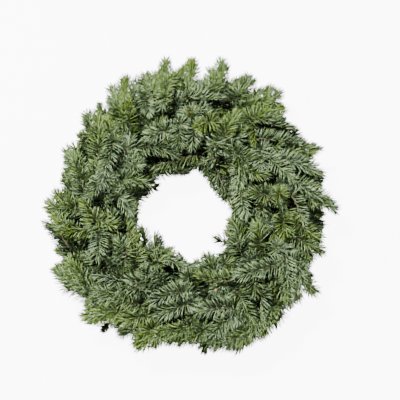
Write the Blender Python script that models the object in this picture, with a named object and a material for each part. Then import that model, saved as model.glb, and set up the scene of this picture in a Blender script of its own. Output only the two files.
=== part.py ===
# Noble fir wreath: flat sprays of fir bound with reel wire to a two-rail wire frame.
# It lies on its back with its front up, and its sprays run clockwise. Metres, +Z up.
import math
import random

import bmesh
import bpy
import numpy as np
from mathutils import Matrix, Vector

# Frame and reel wire
BUNCHES = 14
INNER_RAIL = 0.131
OUTER_RAIL = 0.165
FRAME_WIRE = 0.0036
RAIL_SIDES = 6
RAIL_STEPS = 2 * BUNCHES
BAR_SIDES = 4
REEL_WIRE = 0.0012
WIRE_CHAMFER = 0.0017
GAP = 0.0003

# Twigs are three-sided, with a ridge on the side they face. Their radii are to the corners.
TWIG_FLATS = (30, 150, 270)
TWIG_CORNERS = (90, 210, 330)
STEM_RADIUS = 0.0026
LEADER_TIP = 0.0018
SIDE_RADII = (0.0012, 0.0017, 0.0016)
BOUND_LENGTH = 0.034
BOUND_STEPS = (-1, -0.5)
FREE_STEPS = (0, 0.18, 0.4, 0.7, 1)
CURVE_PULL = 0.36
SIDE_SHOOTS = ((30, 0.36), (150, 0.52))
SIDE_STEPS = (0, 0.25, 1)
SIDE_DRAWS = 80
PLACE_SWING = 0.06
LENGTH_SWING = 0.15
SIDE_SPREAD = 46
SPREAD_SWING = 14
SIDE_BEND = 0.7
ROLL_SWING = 34
EASY_ROOM = 0.0052
TWIG_ROOM = 0.0012
FLOOR_ROOM = 0.0022
HOLE_RADIUS = 0.074

# Needles
NEEDLE_LENGTH = 0.024
NEEDLE_RADIUS = 0.0008
NEEDLE_ROOM = 0.0005
NEEDLE_ROOT = 0.4
LEADER_NEEDLES = 8
SIDE_NEEDLES = 6
LEADER_BARE = 0.24
SIDE_BARE = 0.2
LAST_NEEDLE = 0.985
NEEDLE_SWING = 25
NEEDLE_LEAN = 54
LEAN_SWING = 5
TIP_LEAN = 24
TIP_OVERHANG = 0.020

# Bearings are in degrees, anticlockwise from +X. Each bunch is bound one station on, clockwise.
STATION = 360 / BUNCHES
FIRST_STATION = 153
FRAME_CIRCLE = (INNER_RAIL + OUTER_RAIL) / 2
WIRE_BEARING = FIRST_STATION - math.degrees(BOUND_LENGTH / 2 / FRAME_CIRCLE)
RAIL_HEIGHT = REEL_WIRE + GAP + FRAME_WIRE / 2
STEM_HEIGHT = RAIL_HEIGHT + FRAME_WIRE / 2 + GAP + STEM_RADIUS / 2
STEM_HALF_WIDTH = STEM_RADIUS * math.sin(math.radians(60))
UP = np.array([0.0, 0.0, 1.0])

# Tips of the two lanes that make the outline, one a bunch: bearing and reach from the outline's middle,
# height, and how far the tip points clockwise from radial. The frame isn't in the middle of the outline.
OUTLINE_MIDDLE = np.array([0.005, 0.014, 0.0])
OUTER_TIPS = (
    (116, 0.263, 0.040, 26), (89, 0.267, 0.046, 35), (65, 0.255, 0.040, 40), (45, 0.252, 0.032, 45),
    (14, 0.239, 0.020, 42), (-11, 0.239, 0.016, 35), (-36, 0.260, 0.016, 17), (-59, 0.246, 0.014, 30),
    (-84, 0.240, 0.014, 58), (-111, 0.259, 0.014, 14), (-133, 0.268, 0.014, 44), (-165, 0.249, 0.018, 50),
    (-182, 0.253, 0.020, 50), (-223, 0.254, 0.032, 35),
)
SHOULDER_TIPS = (
    (100, 0.262, 0.060, 20), (76, 0.264, 0.060, 5), (55, 0.247, 0.058, 40), (21, 0.242, 0.052, 45),
    (-3, 0.247, 0.052, 41), (-22, 0.237, 0.048, 30), (-49, 0.238, 0.046, 25), (-72, 0.259, 0.044, 30),
    (-92, 0.236, 0.046, 40), (-120, 0.256, 0.044, 30), (-154, 0.250, 0.046, 45), (-172, 0.245, 0.050, 56),
    (-203, 0.237, 0.052, 40), (-230, 0.248, 0.058, 35),
)

# How far the tips round the hole lie from the frame's middle, one a bunch: the hole isn't round
HOLE_REACHES = (
    0.095, 0.095, 0.094, 0.080, 0.083, 0.088, 0.098, 0.103, 0.103, 0.088, 0.084, 0.103, 0.099, 0.092,
)

# Each lane of sprays: the circle of its bound stems, their rise as they leave it, which way the flat
# spray faces (out, up), its two side shoots, and the ranges of where its leaders end and point
LANES = {
    "outer": {
        "circle": 0.1650, "rise": 6, "faces": (0.2, 1.0), "sides": (0.050, 0.052),
        "tips": OUTER_TIPS, "lift": (-4, 8),
    },
    "hole": {
        "circle": 0.1310, "rise": 20, "faces": (-0.9, 1.0), "sides": (0.042, 0.040),
        "turn": (46, 52), "reaches": HOLE_REACHES, "height": (0.042, 0.056),
        "aim": (85, 110), "lift": (0, 20),
    },
    "crown": {
        "circle": 0.1423, "rise": 26, "faces": (0.1, 1.0), "sides": (0.052, 0.048),
        "turn": (44, 50), "reach": (0.145, 0.168), "height": (0.068, 0.080),
        "aim": (55, 85), "lift": (8, 25),
    },
    "shoulder": {
        "circle": 0.1537, "rise": 16, "faces": (0.5, 1.0), "sides": (0.052, 0.050),
        "tips": SHOULDER_TIPS, "lift": (0, 14),
    },
}


def polar(radius, bearing, height):
    turn = math.radians(bearing)
    return np.array([radius * math.cos(turn), radius * math.sin(turn), height])


def heading(bearing, aim, lift=0.0):
    # A direction at a bearing: turned clockwise from radial by aim, and raised by lift, in degrees
    turn, raised = math.radians(bearing - aim), math.radians(lift)
    flat = math.cos(raised)
    return np.array([math.cos(turn) * flat, math.sin(turn) * flat, math.sin(raised)])


def unit(vector):
    return vector / np.linalg.norm(vector)


def swing(draw, most):
    return draw.uniform(-most, most)


def bezier(corners, u):
    a, b, c, d = corners
    v = 1 - u
    return a * v**3 + 3 * b * u * v**2 + 3 * c * u**2 * v + d * u**3


def along(twig, u):
    # A point on a twig, and the way that it runs there
    here, before, after = (
        np.array([np.interp(place, twig["steps"], axis) for axis in twig["points"].T])
        for place in (u, u - 0.02, u + 0.01)
    )
    return here, unit(after - before)


def twig_frame(faces, point, ahead):
    # Across and face directions of a flat spray at a point
    out, up = faces
    face = out * unit(np.array([point[0], point[1], 0.0])) + up * UP
    face = unit(face - ahead * (face @ ahead))
    return np.cross(face, ahead), face


def turned(ahead, frame, turn, lean):
    # A direction that leans from ahead, turned round it from across towards the face, in degrees
    across, face = frame
    turn, lean = math.radians(turn), math.radians(lean)
    around = across * math.cos(turn) + face * math.sin(turn)
    return ahead * math.cos(lean) + around * math.sin(lean)


# Where each twig grows

def leader_path(lane, bunch, draw):
    # Bound along the frame first, then one smooth curve out to the twig's end
    rule = LANES[lane]
    station = FIRST_STATION - STATION * bunch
    bound = math.degrees(BOUND_LENGTH / rule["circle"])
    if "tips" in rule:
        bearing, reach, height, aim = rule["tips"][bunch]
        end_way = heading(bearing, aim, draw.uniform(*rule["lift"]))
        end = OUTLINE_MIDDLE + polar(reach, bearing, height) - end_way * TIP_OVERHANG
    else:
        bearing = station - draw.uniform(*rule["turn"])
        reach = rule["reaches"][bunch] if "reaches" in rule else draw.uniform(*rule["reach"])
        end = polar(reach, bearing, draw.uniform(*rule["height"]))
        end_way = heading(bearing, draw.uniform(*rule["aim"]), draw.uniform(*rule["lift"]))
    start = polar(rule["circle"], station - bound, STEM_HEIGHT)
    start_way = heading(station - bound, 90, rule["rise"])
    pull = CURVE_PULL * np.linalg.norm(end - start)
    corners = (start, start + start_way * pull, end - end_way * pull, end)
    stem = [polar(rule["circle"], station - bound * (1 + step), STEM_HEIGHT) for step in BOUND_STEPS]
    return np.array(stem + [bezier(corners, step) for step in FREE_STEPS])


def side_path(leader, faces, flat, at, length, draw):
    # A side shoot leaves by one of the leader's upper flats, then bends forward and nearer the spray's plane
    root, ahead = along(leader, at)
    frame = twig_frame(faces, root, ahead)
    spread, level = SIDE_SPREAD + swing(draw, SPREAD_SWING), 0 if flat < 90 else 180
    way = turned(ahead, frame, flat, spread)
    later = turned(ahead, frame, level + swing(draw, ROLL_SWING), spread * SIDE_BEND)
    elbow = root + way * length * SIDE_STEPS[1]
    return np.array([root, elbow, elbow + later * length * (1 - SIDE_STEPS[1])])


def segment_gaps(starts, ends, start, end):
    # Least distance from one segment to each of many
    d1, d2, r = end - start, ends - starts, start - starts
    a, e = d1 @ d1, np.einsum("ij,ij->i", d2, d2)
    b, c, f = d2 @ d1, r @ d1, np.einsum("ij,ij->i", d2, r)
    s = np.clip((b * f - c * e) / np.maximum(a * e - b * b, 1e-18), 0, 1)
    t = np.clip((b * s + f) / e, 0, 1)
    s = np.clip((b * t - c) / a, 0, 1)
    return np.linalg.norm(start + s[:, None] * d1 - starts - t[:, None] * d2, axis=1)


class Taken:
    # The rods that already fill space: wire, twigs and needles, each with its owner

    def __init__(self):
        self.starts, self.ends, self.radii, self.owners = [], [], [], []
        self.arrays = None

    def add(self, points, radii, owner):
        for i in range(len(points) - 1):
            self.starts.append(points[i])
            self.ends.append(points[i + 1])
            self.radii.append(max(radii[i], radii[i + 1]))
            self.owners.append(owner)
        self.arrays = np.array(self.starts), np.array(self.ends), np.array(self.radii), np.array(self.owners)

    def room(self, points, radii, owner, own=False):
        # Least clear distance from these rods to every other owner's, or to the owner's own
        starts, ends, filled, owners = self.arrays
        near = (owners == owner) if own else (owners != owner)
        return min(
            (segment_gaps(starts[near], ends[near], points[i], points[i + 1]) - filled[near]).min()
            - max(radii[i], radii[i + 1])
            for i in range(len(points) - 1)
        )


def off_limits(points):
    # Too near the floor or in the wreath's hole
    return any(p[2] < FLOOR_ROOM or math.hypot(p[0], p[1]) < HOLE_RADIUS for p in points)


def plan_leaders(taken):
    sprays = []
    for lane in LANES:
        for bunch in range(BUNCHES):
            name = f"{lane}_spray_{bunch + 1:02d}"
            points = leader_path(lane, bunch, random.Random(name))
            steps = BOUND_STEPS + FREE_STEPS
            radii = [STEM_RADIUS - (STEM_RADIUS - LEADER_TIP) * max(step, 0) for step in steps]
            taken.add(points, radii, name)
            leader = {"points": points, "steps": steps, "radii": radii}
            sprays.append({"name": name, "lane": lane, "twigs": [leader], "needles": []})
    return sprays


def plan_sides(taken, spray):
    # Each side shoot is redrawn until it stands easily clear of its neighbours
    rule = LANES[spray["lane"]]
    for (flat, at), length in zip(SIDE_SHOOTS, rule["sides"]):
        draw = random.Random(f"{spray['name']} side {flat}")
        best, best_room = None, TWIG_ROOM
        for _ in range(SIDE_DRAWS):
            place, reach = at + swing(draw, PLACE_SWING), length * (1 + swing(draw, LENGTH_SWING))
            points = side_path(spray["twigs"][0], rule["faces"], flat, place, reach, draw)
            room = taken.room(points, SIDE_RADII, spray["name"])
            if room > best_room and not off_limits(points):
                best, best_room = points, room
            if best_room > EASY_ROOM:
                break
        if best is not None:
            taken.add(best, SIDE_RADII, spray["name"])
            spray["twigs"].append({"points": best, "steps": SIDE_STEPS, "radii": SIDE_RADII})


def needle_tries(aside):
    # A needle that would cross a neighbour is turned, then leant forward, then shortened
    for share in (1, 0.8, 0.6):
        for tilt in (1, 0.75, 0.5):
            for turn in (0, 120, 240):
                for side in (aside, -aside, 0):
                    yield share, tilt, turn + side


def plant_needle(taken, spray, base, ahead, flat, aside, lean):
    # The first try that clears every neighbour and, past its root, the spray's own rods too
    frame = twig_frame(LANES[spray["lane"]]["faces"], base, ahead)
    radii = (NEEDLE_RADIUS, NEEDLE_RADIUS)
    for share, tilt, turn in needle_tries(aside):
        way = turned(ahead, frame, flat + turn, lean * tilt)
        points = base, base + way * NEEDLE_LENGTH * share
        outer = base + way * NEEDLE_LENGTH * NEEDLE_ROOT, points[1]
        if off_limits(points) or taken.room(points, radii, spray["name"]) < NEEDLE_ROOM:
            continue
        if taken.room(outer, radii, spray["name"], own=True) > 0:
            taken.add(points, radii, spray["name"])
            spray["needles"].append(points)
            return


def plant_needles(taken, spray):
    # Needles stand on the flats of each twig in turn, and lean forward more towards its tip
    draw = random.Random(f"{spray['name']} needles")
    for number, twig in enumerate(spray["twigs"]):
        count, first = (SIDE_NEEDLES, SIDE_BARE) if number else (LEADER_NEEDLES, LEADER_BARE)
        for i in range(count):
            share = i / (count - 1)
            base, ahead = along(twig, first + (LAST_NEEDLE - first) * share)
            lean = NEEDLE_LEAN + (TIP_LEAN - NEEDLE_LEAN) * share**2 + swing(draw, LEAN_SWING)
            plant_needle(taken, spray, base, ahead, TWIG_FLATS[i % 3], swing(draw, NEEDLE_SWING), lean)


# Solids

def skin(name, rings, closed=False):
    # One closed body through rings of corners: a loop, or a rod with flat ends
    made = bmesh.new()
    rows = [[made.verts.new(corner) for corner in ring] for ring in rings]
    pairs = list(zip(rows, rows[1:]))
    if closed:
        pairs.append((rows[-1], rows[0]))
    else:
        made.faces.new(rows[0])
        made.faces.new(rows[-1])
    for low, high in pairs:
        for i in range(len(low)):
            made.faces.new((low[i - 1], low[i], high[i], high[i - 1]))
    return body_of(name, made)


def body_of(name, made):
    bmesh.ops.recalc_face_normals(made, faces=made.faces)
    mesh = bpy.data.meshes.new(name)
    made.to_mesh(mesh)
    made.free()
    return bpy.data.objects.new(name, mesh)


def needle_body(root, tip):
    made = bmesh.new()
    way = Vector(tip - root)
    place = Matrix.Translation((root + tip) / 2) @ way.to_track_quat("Z", "Y").to_matrix().to_4x4()
    bmesh.ops.create_cone(made, cap_ends=True, segments=3, radius1=NEEDLE_RADIUS, radius2=0,
                          depth=way.length, matrix=place)
    return body_of("needle", made)


def twig_body(name, faces, twig):
    # The ridge follows the spray's face, and looks straight up where the stem is bound
    points, rings = twig["points"], []
    for i, point in enumerate(points):
        ahead = unit(points[min(i + 1, len(points) - 1)] - points[max(i - 1, 0)])
        bound = twig["steps"][0] < 0 and twig["steps"][i] <= 0
        frame = twig_frame((0, 1) if bound else faces, point, ahead)
        radius = twig["radii"][i]
        rings.append([point + radius * turned(ahead, frame, corner, 90) for corner in TWIG_CORNERS])
    return skin(name, rings)


def wire_ring(centre, ahead, radius, sides):
    # Corners round a rod, the first on top
    right = unit(np.cross(ahead, UP))
    top = np.cross(right, ahead)
    turns = [2 * math.pi * i / sides for i in range(sides)]
    return [centre + radius * (top * math.cos(t) + right * math.sin(t)) for t in turns]


def fuse(body, pieces):
    # One Boolean union of the pieces into the body, applied, and the pieces removed
    helpers = bpy.data.collections.new("helpers")
    bpy.context.scene.collection.children.link(helpers)
    for piece in pieces:
        helpers.objects.link(piece)
    union = body.modifiers.new("union", "BOOLEAN")
    union.operation = "UNION"
    union.operand_type = "COLLECTION"
    union.solver = "EXACT"
    union.collection = helpers
    whole = body.evaluated_get(bpy.context.evaluated_depsgraph_get())
    joined = bpy.data.meshes.new_from_object(whole)
    body.modifiers.clear()
    body.data = joined
    for piece in pieces:
        bpy.data.objects.remove(piece)
    bpy.data.collections.remove(helpers)


def show(body, material):
    bpy.context.scene.collection.objects.link(body)
    body.data.materials.append(material)


def principled(name, colour, roughness, metallic=0.0):
    material = bpy.data.materials.new(name)
    material.use_nodes = True
    shader = material.node_tree.nodes["Principled BSDF"]
    shader.inputs["Base Color"].default_value = (*colour, 1)
    shader.inputs["Roughness"].default_value = roughness
    shader.inputs["Metallic"].default_value = metallic
    return material


# Frame: two rails and a cross bar under the middle of each bound stretch

def rail_path(radius):
    return [polar(radius, WIRE_BEARING - 360 * i / RAIL_STEPS, RAIL_HEIGHT) for i in range(RAIL_STEPS)]


def wire_frame(material):
    rails = []
    for name, radius in (("wire_frame", INNER_RAIL), ("outer_rail", OUTER_RAIL)):
        path = rail_path(radius)
        rings = [wire_ring(point, unit(np.cross(UP, point)), FRAME_WIRE / 2, RAIL_SIDES) for point in path]
        rails.append(skin(name, rings, closed=True))
    bars = []
    for bunch in range(BUNCHES):
        bearing = WIRE_BEARING - STATION * bunch
        rings = [
            wire_ring(polar(radius, bearing, RAIL_HEIGHT), heading(bearing, 0), FRAME_WIRE / 2, BAR_SIDES)
            for radius in (INNER_RAIL, OUTER_RAIL)
        ]
        bars.append(skin("cross_bar", rings))
    show(rails[0], material)
    fuse(rails[0], rails[1:] + bars)


# Reel wire: one loop that turns once round each bunch and the frame, and runs on under them to the next

def wire_turn(bunch):
    # Centre, outer side and width direction at each bend. Its under side lies flat on the floor.
    bearing = WIRE_BEARING - STATION * bunch
    inside = INNER_RAIL - STEM_HALF_WIDTH - GAP - REEL_WIRE / 2
    outside = OUTER_RAIL + STEM_HALF_WIDTH + GAP + REEL_WIRE / 2
    low, high = REEL_WIRE / 2, STEM_HEIGHT + STEM_RADIUS + GAP + REEL_WIRE / 2
    out, width = heading(bearing, 0), heading(bearing, 90)
    widths = []
    for start in (bearing + STATION, bearing):
        run = polar(inside, start - STATION, 0) - polar(outside, start, 0)
        widths.append(unit(width + np.cross(unit(run), -UP)))
    return [
        (polar(inside + WIRE_CHAMFER, bearing, low), -UP, widths[0]),
        (polar(inside, bearing, low + WIRE_CHAMFER), -out, width),
        (polar(inside, bearing, high - WIRE_CHAMFER), -out, width),
        (polar(inside + WIRE_CHAMFER, bearing, high), UP, width),
        (polar(outside - WIRE_CHAMFER, bearing, high), UP, width),
        (polar(outside, bearing, high - WIRE_CHAMFER), out, width),
        (polar(outside, bearing, low + WIRE_CHAMFER), out, width),
        (polar(outside - WIRE_CHAMFER, bearing, low), -UP, widths[1]),
    ]


def binding_wire(bends, material):
    half = REEL_WIRE / 2
    rings = [
        [centre + half * (a * out + b * width) for a, b in ((1, 1), (1, -1), (-1, -1), (-1, 1))]
        for centre, out, width in bends
    ]
    show(skin("binding_wire", rings, closed=True), material)


def stand_on_origin():
    # The origin is the middle of the whole wreath's underside
    corners = np.array([vertex.co for ob in bpy.data.objects for vertex in ob.data.vertices])
    low, high = corners.min(axis=0), corners.max(axis=0)
    for ob in bpy.data.objects:
        ob.location = (-(low[0] + high[0]) / 2, -(low[1] + high[1]) / 2, 0)


def main():
    for old in list(bpy.data.objects):
        bpy.data.objects.remove(old)
    bends = [bend for bunch in range(BUNCHES) for bend in wire_turn(bunch)]
    wire_frame(principled("frame_steel", (0.06, 0.07, 0.05), 0.45, 1.0))
    binding_wire(bends, principled("reel_wire", (0.05, 0.12, 0.05), 0.4, 1.0))

    taken = Taken()
    for radius in (INNER_RAIL, OUTER_RAIL):
        path = rail_path(radius)
        taken.add(path + path[:1], [FRAME_WIRE / 2] * (RAIL_STEPS + 1), "wire_frame")
    loop = [centre for centre, _, _ in bends]
    taken.add(loop + loop[:1], [REEL_WIRE] * (len(loop) + 1), "binding_wire")
    sprays = plan_leaders(taken)
    for spray in sprays:
        plan_sides(taken, spray)
    for spray in sprays:
        plant_needles(taken, spray)

    fir = principled("noble_fir", (0.12, 0.19, 0.09), 0.6)
    for spray in sprays:
        twigs = [twig_body(spray["name"], LANES[spray["lane"]]["faces"], twig) for twig in spray["twigs"]]
        show(twigs[0], fir)
        fuse(twigs[0], twigs[1:] + [needle_body(root, tip) for root, tip in spray["needles"]])
    stand_on_origin()


main()
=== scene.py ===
# Noble fir wreath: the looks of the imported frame, in metres with +Z up.
# Every spray of the frame is grown again here on the same curves, with all of its shoots and needles.
import math
import random

import bpy
import numpy as np
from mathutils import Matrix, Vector


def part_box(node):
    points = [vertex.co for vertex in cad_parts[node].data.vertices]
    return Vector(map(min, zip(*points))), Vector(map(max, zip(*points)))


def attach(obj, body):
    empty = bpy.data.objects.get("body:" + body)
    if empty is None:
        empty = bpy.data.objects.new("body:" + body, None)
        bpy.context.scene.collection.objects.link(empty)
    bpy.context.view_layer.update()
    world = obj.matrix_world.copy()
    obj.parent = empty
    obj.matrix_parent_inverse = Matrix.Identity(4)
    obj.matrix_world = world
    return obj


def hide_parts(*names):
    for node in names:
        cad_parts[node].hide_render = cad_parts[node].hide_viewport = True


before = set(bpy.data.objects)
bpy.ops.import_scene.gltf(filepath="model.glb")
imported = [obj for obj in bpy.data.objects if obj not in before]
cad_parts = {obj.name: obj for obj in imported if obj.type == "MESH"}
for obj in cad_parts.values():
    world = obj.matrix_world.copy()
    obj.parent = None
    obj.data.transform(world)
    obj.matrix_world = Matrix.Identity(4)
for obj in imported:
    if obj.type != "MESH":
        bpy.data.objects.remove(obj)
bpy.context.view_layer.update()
print("Frame loaded with", len(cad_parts), "nodes")


# Directions and curves

up = np.array([0.0, 0.0, 1.0])


def polar(radius, bearing, height):
    turn = math.radians(bearing)
    return np.array([radius * math.cos(turn), radius * math.sin(turn), height])


def heading(bearing, aim, lift=0.0):
    # Turned clockwise from radial by aim and raised by lift, in degrees
    turn, raised = math.radians(bearing - aim), math.radians(lift)
    flat = math.cos(raised)
    return np.array([math.cos(turn) * flat, math.sin(turn) * flat, math.sin(raised)])


def unit(vectors):
    return vectors / np.linalg.norm(vectors, axis=-1, keepdims=True)


def swing(draw, most):
    return draw.uniform(-most, most)


def bezier(corners, share):
    start, leave, arrive, end = corners
    rest = 1 - share
    return start * rest**3 + 3 * leave * share * rest**2 + 3 * arrive * share**2 * rest + end * share**3


def curve(corners, amount):
    return np.array([bezier(corners, share) for share in np.linspace(0, 1, amount)])


def stepLengths(path):
    return np.linalg.norm(np.diff(path, axis=0), axis=1)


glance = 0.02  # how far before and after a point its way is read, as a share of the path


def readAlong(path, places):
    # Points of a path at shares of its length, and the way that it runs there
    steps = stepLengths(path)
    reach = np.concatenate([[0], np.cumsum(steps)]) / steps.sum()
    before, after = np.clip(places - glance, 0, 1), np.clip(places + glance, 0, 1)
    here, low, high = (
        np.stack([np.interp(at, reach, path[:, axis]) for axis in range(3)], axis=-1)
        for at in (places, before, after)
    )
    return here, unit(high - low)


def flatFrame(faces, points, ahead):
    # Across and face directions of a flat spray at each point
    out, rise = faces
    level = points * np.array([1.0, 1.0, 0.0])
    face = out * unit(level) + rise * up
    face = unit(face - ahead * np.sum(face * ahead, axis=-1, keepdims=True))
    return np.cross(face, ahead), face


def leaning(ahead, across, face, turn, lean):
    # Directions that lean from ahead, turned round it from across towards the face, in degrees
    turn, lean = np.radians(turn)[..., None], np.radians(lean)[..., None]
    around = across * np.cos(turn) + face * np.sin(turn)
    return ahead * np.cos(lean) + around * np.sin(lean)


# Meshes: each shape is modelled once, then copied and bent to its place

def deselectAll():
    if bpy.context.object and bpy.context.object.mode != "OBJECT":
        bpy.ops.object.mode_set(mode="OBJECT")
    bpy.ops.object.select_all(action="DESELECT")


def pickVertices(test):
    # Selects the vertices of the edited mesh that pass a test on their place
    bpy.ops.object.mode_set(mode="OBJECT")
    mesh = bpy.context.object.data
    for face in mesh.polygons:
        face.select = False
    for edge in mesh.edges:
        edge.select = False
    for vertex in mesh.vertices:
        vertex.select = bool(test(vertex.co))
    bpy.ops.object.mode_set(mode="EDIT")
    bpy.ops.mesh.select_mode(type="VERT")


unitEnds = (0.01, 0.99)  # a unit shape's root lies below the first height and its tip above the second


def startShape(addPrimitive, **size):
    # A primitive, one unit long, that stands on its root and is open for editing
    deselectAll()
    addPrimitive(location=(0, 0, 0.5), **size)
    bpy.ops.object.transform_apply(location=True)
    bpy.ops.object.mode_set(mode="EDIT")
    bpy.ops.mesh.select_all(action="SELECT")


def widen(test, width):
    # Makes the shape wider or narrower at the vertices that pass a test
    pickVertices(test)
    bpy.ops.transform.resize(value=(width, width, 1))


def takeShape():
    # The finished shape's points and faces, after which its object goes
    bpy.ops.mesh.select_all(action="SELECT")
    bpy.ops.mesh.normals_make_consistent(inside=False)
    bpy.ops.object.mode_set(mode="OBJECT")
    shape = bpy.context.object
    mesh = shape.data
    points = np.array([vertex.co for vertex in mesh.vertices])
    faces = [list(face.vertices) for face in mesh.polygons]
    bpy.data.objects.remove(shape)
    return {"points": points, "faces": faces}


needleShape = {
    "length": 0.0218,
    "width": 0.0016,
    "thickness": 0.0013,
    "shoulder": 0.72,
    "root": 0.75,
    "plainWidth": 1.6,
}


def modelNeedle(shouldered):
    # A ridged needle, one unit long, which is bent later; the plain one has no shoulder
    startShape(bpy.ops.mesh.primitive_cylinder_add, vertices=3, radius=0.5, depth=1)
    if shouldered:
        bpy.ops.mesh.bisect(plane_co=(0, 0, needleShape["shoulder"]), plane_no=(0, 0, 1))
        widen(lambda co: co.z < unitEnds[0], needleShape["root"])
    else:
        widen(lambda co: True, needleShape["plainWidth"])
    pickVertices(lambda co: co.z > unitEnds[1])
    bpy.ops.mesh.merge(type="CENTER")
    return takeShape()


twigShape = {
    "fine": (6, 10),  # sides and rings
    "plain": (4, 4),
    "tip": 0.55,
}


def modelTwig(sides, rings):
    # A tapered rod, one unit long and one wide, which is bent later
    startShape(bpy.ops.mesh.primitive_cylinder_add, vertices=sides, radius=1, depth=1)
    for ring in range(1, rings):
        bpy.ops.mesh.select_all(action="SELECT")
        bpy.ops.mesh.bisect(plane_co=(0, 0, ring / rings), plane_no=(0, 0, 1))
    widen(lambda co: co.z > unitEnds[1], twigShape["tip"])
    return takeShape()


budShape = {
    "length": 0.0062,
    "width": 0.0034,
    "waistBelow": 0.3,
    "waist": 0.62,
    "tipAbove": 0.75,
    "tip": 0.8,
    "group": ((0, 0, 1.0), (10, 48, 0.8), (170, 48, 0.8)),  # turn, lean and size of each
    "sizes": (0.85, 1.1),
    "sunk": 0.0012,
    "nudge": 0.01,
    "tone": (0.5, 0.5, 0.0, 1.0),
}


def modelBud():
    # A blunt resin-coated bud, one unit long, standing on its root
    startShape(bpy.ops.mesh.primitive_uv_sphere_add, segments=7, ring_count=5, radius=0.5)
    widen(lambda co: co.z < budShape["waistBelow"], budShape["waist"])
    widen(lambda co: co.z > budShape["tipAbove"], budShape["tip"])
    return takeShape()


def emptyHeap():
    return {"points": [], "corners": [], "counts": [], "slots": [], "places": [], "tones": [], "total": 0}


def addCopies(heap, shape, copies, slots, places, tones):
    # Many copies of one shape, each with its own points, to a heap that becomes one mesh
    amount, size = copies.shape[0], copies.shape[1]
    corners = np.concatenate([np.array(face) for face in shape["faces"]])
    counts = np.array([len(face) for face in shape["faces"]])
    offsets = heap["total"] + size * np.arange(amount)
    heap["points"].append(copies.reshape(-1, 3))
    heap["corners"].append((corners[None, :] + offsets[:, None]).ravel())
    heap["counts"].append(np.tile(counts, amount))
    heap["slots"].append(np.tile(np.array(slots), amount))
    heap["places"].append(np.tile(places[corners], (amount, 1)))
    heap["tones"].append(np.repeat(tones, size, axis=0))
    heap["total"] += amount * size


def heapToPiece(name, heap, finishes):
    # One mesh object at the origin, with its UV map and the tone of each needle, twig and bud
    points, corners = np.concatenate(heap["points"]), np.concatenate(heap["corners"])
    counts, slots = np.concatenate(heap["counts"]), np.concatenate(heap["slots"])
    mesh = bpy.data.meshes.new(name)
    mesh.vertices.add(len(points))
    mesh.vertices.foreach_set("co", points.ravel())
    mesh.loops.add(len(corners))
    mesh.loops.foreach_set("vertex_index", corners.astype(np.int32))
    mesh.polygons.add(len(counts))
    starts = np.concatenate([[0], np.cumsum(counts)[:-1]])
    for field, values in (("loop_start", starts), ("loop_total", counts), ("material_index", slots)):
        mesh.polygons.foreach_set(field, values.astype(np.int32))
    mesh.polygons.foreach_set("use_smooth", np.ones(len(counts), dtype=bool))
    mesh.uv_layers.new(name="UVMap").data.foreach_set("uv", np.concatenate(heap["places"]).ravel())
    tone = mesh.attributes.new("tone", "FLOAT_COLOR", "POINT")
    tone.data.foreach_set("color", np.concatenate(heap["tones"]).ravel())
    mesh.update(calc_edges=True)
    mesh.validate()
    for finish in finishes:
        mesh.materials.append(finish)
    piece = bpy.data.objects.new(name, mesh)
    bpy.context.scene.collection.objects.link(piece)
    return piece


# Materials

def newFinish(name, roughness):
    finish = bpy.data.materials.new(name)
    finish.use_nodes = True
    nodes = finish.node_tree.nodes
    shader = nodes["Principled BSDF"]
    shader.inputs["Roughness"].default_value = roughness
    return finish, nodes, finish.node_tree.links, shader


mixSockets = {"share": 0, "first": 6, "second": 7, "result": 2}


def mixColours(nodes, links, share, first, second):
    # Two colours, given as values or sockets, mixed by a share
    mix = nodes.new("ShaderNodeMix")
    mix.data_type = "RGBA"
    links.new(share, mix.inputs[mixSockets["share"]])
    for place, source in (("first", first), ("second", second)):
        socket = mix.inputs[mixSockets[place]]
        if isinstance(source, tuple):
            socket.default_value = (*source, 1)
        else:
            links.new(source, socket)
    return mix.outputs[mixSockets["result"]]


def greyRamp(nodes, links, source, stops):
    # Strengths along a value, at the places of the stops
    ramp = nodes.new("ShaderNodeValToRGB")
    while len(ramp.color_ramp.elements) < len(stops):
        ramp.color_ramp.elements.new(0.5)
    for element, (place, grey) in zip(ramp.color_ramp.elements, stops):
        element.position = place
        element.color = (grey, grey, grey, 1)
    links.new(source, ramp.inputs[0])
    return ramp.outputs[0]


def shareBetween(nodes, links, value, low, high):
    # How far a value lies between a low and a high one, each given as a number or a socket
    between = nodes.new("ShaderNodeMapRange")
    links.new(value, between.inputs["Value"])
    for name, limit in (("From Min", low), ("From Max", high)):
        if isinstance(limit, float):
            between.inputs[name].default_value = limit
        else:
            links.new(limit, between.inputs[name])
    return between.outputs[0]


def readTone(nodes, links):
    # The shade, youth and bloom of each needle and twig
    tone = nodes.new("ShaderNodeAttribute")
    tone.attribute_name = "tone"
    split = nodes.new("ShaderNodeSeparateColor")
    links.new(tone.outputs["Color"], split.inputs[0])
    return split.outputs


def raiseSurface(nodes, links, shader, height, strength, relief):
    # A little relief that follows a height
    bump = nodes.new("ShaderNodeBump")
    bump.inputs["Strength"].default_value = strength
    bump.inputs["Distance"].default_value = relief
    links.new(height, bump.inputs["Height"])
    links.new(bump.outputs[0], shader.inputs["Normal"])


def newGroup(name, inputs, outputs):
    # An empty node group with its sockets, given as names and socket types
    group = bpy.data.node_groups.new(name, "ShaderNodeTree")
    for way, sockets in (("INPUT", inputs), ("OUTPUT", outputs)):
        for socket, kind in sockets:
            group.interface.new_socket(socket, in_out=way, socket_type="NodeSocket" + kind)
    nodes = group.nodes
    return group, nodes, group.links, nodes.new("NodeGroupInput"), nodes.new("NodeGroupOutput")


def placeGroup(nodes, group, values):
    # The group in a material, with this material's own values
    placed = nodes.new("ShaderNodeGroup")
    placed.node_tree = group
    for socket, value in values.items():
        placed.inputs[socket].default_value = (*value, 1) if isinstance(value, tuple) else value
    return placed


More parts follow.
